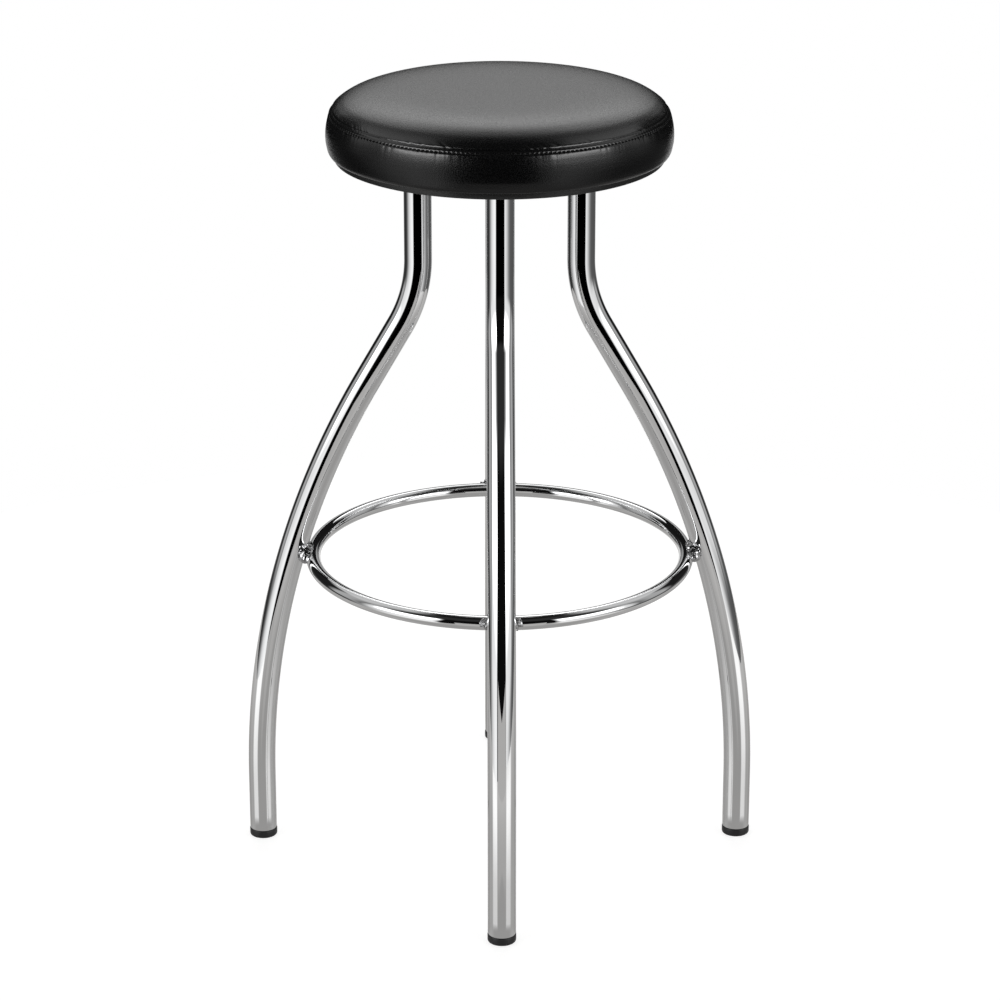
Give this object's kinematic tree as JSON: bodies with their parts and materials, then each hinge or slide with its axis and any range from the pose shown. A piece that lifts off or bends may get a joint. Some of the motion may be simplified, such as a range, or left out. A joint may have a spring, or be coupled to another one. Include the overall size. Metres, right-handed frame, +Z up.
{
  "type": "counter stool",
  "caption": "Backless counter stool: round padded seat that swivels on a chromed tube frame with splayed curved legs and a ring footrest.",
  "frame": {"origin": "on the floor, under the middle of the seat", "axes": "+Z up along the swivel axis; the front leg stands at -Y and the right leg at +X"},
  "size_m": [0.5052, 0.5052, 0.7695],
  "materials": {
    "chrome": "mirror-bright chrome plate on smooth drawn tube",
    "weld_chrome": "chrome plate over a rippled weld bead, a little duller",
    "black_glide": "moulded black plastic, fine satin, scuffed underneath",
    "plate_steel": "pressed steel with black satin powder coat",
    "zinc_steel": "zinc plated fasteners and bearing steel",
    "black_base": "board lacquered satin black",
    "plywood": "bare birch plywood with plies on the edge",
    "seat_foam": "open-cell upholstery foam",
    "black_vinyl": "black upholstery vinyl with a fine leather grain and a satin sheen",
    "seam_thread": "black bonded thread"
  },
  "bodies": {
    "frame": {"leg_front": "chrome", "leg_right": "chrome", "leg_back": "chrome", "leg_left": "chrome", "glide_front": "black_glide", "glide_right": "black_glide", "glide_back": "black_glide", "glide_left": "black_glide", "ring_weld_front": "weld_chrome", "ring_weld_right": "weld_chrome", "ring_weld_back": "weld_chrome", "ring_weld_left": "weld_chrome", "leg_weld_front": "weld_chrome", "leg_weld_right": "weld_chrome", "leg_weld_back": "weld_chrome", "leg_weld_left": "weld_chrome", "footrest_ring": "chrome", "frame_plate": "chrome", "ball_cage": "zinc_steel"},
    "seat": {"swivel_plate": "plate_steel", "swivel_pin": "zinc_steel", "swivel_pin_washer": "zinc_steel", "swivel_pin_nut": "zinc_steel", "seat_bolt_1": "zinc_steel", "seat_bolt_2": "zinc_steel", "seat_bolt_3": "zinc_steel", "seat_bolt_4": "zinc_steel", "seat_bolt_washer_1": "zinc_steel", "seat_bolt_washer_2": "zinc_steel", "seat_bolt_washer_3": "zinc_steel", "seat_bolt_washer_4": "zinc_steel", "tee_nut_1": "zinc_steel", "tee_nut_2": "zinc_steel", "tee_nut_3": "zinc_steel", "tee_nut_4": "zinc_steel", "seat_base_disc": "black_base", "seat_board": "plywood", "seat_foam": "seat_foam", "seat_side_band": "black_vinyl", "seat_top_panel": "black_vinyl"}
  },
  "joints": [
    {"name": "seat_swivel", "type": "hinge", "parent": "frame", "child": "seat", "pos_m": [0, 0, 0.7], "axis": [0, 0, 1], "continuous": true}
  ]
}
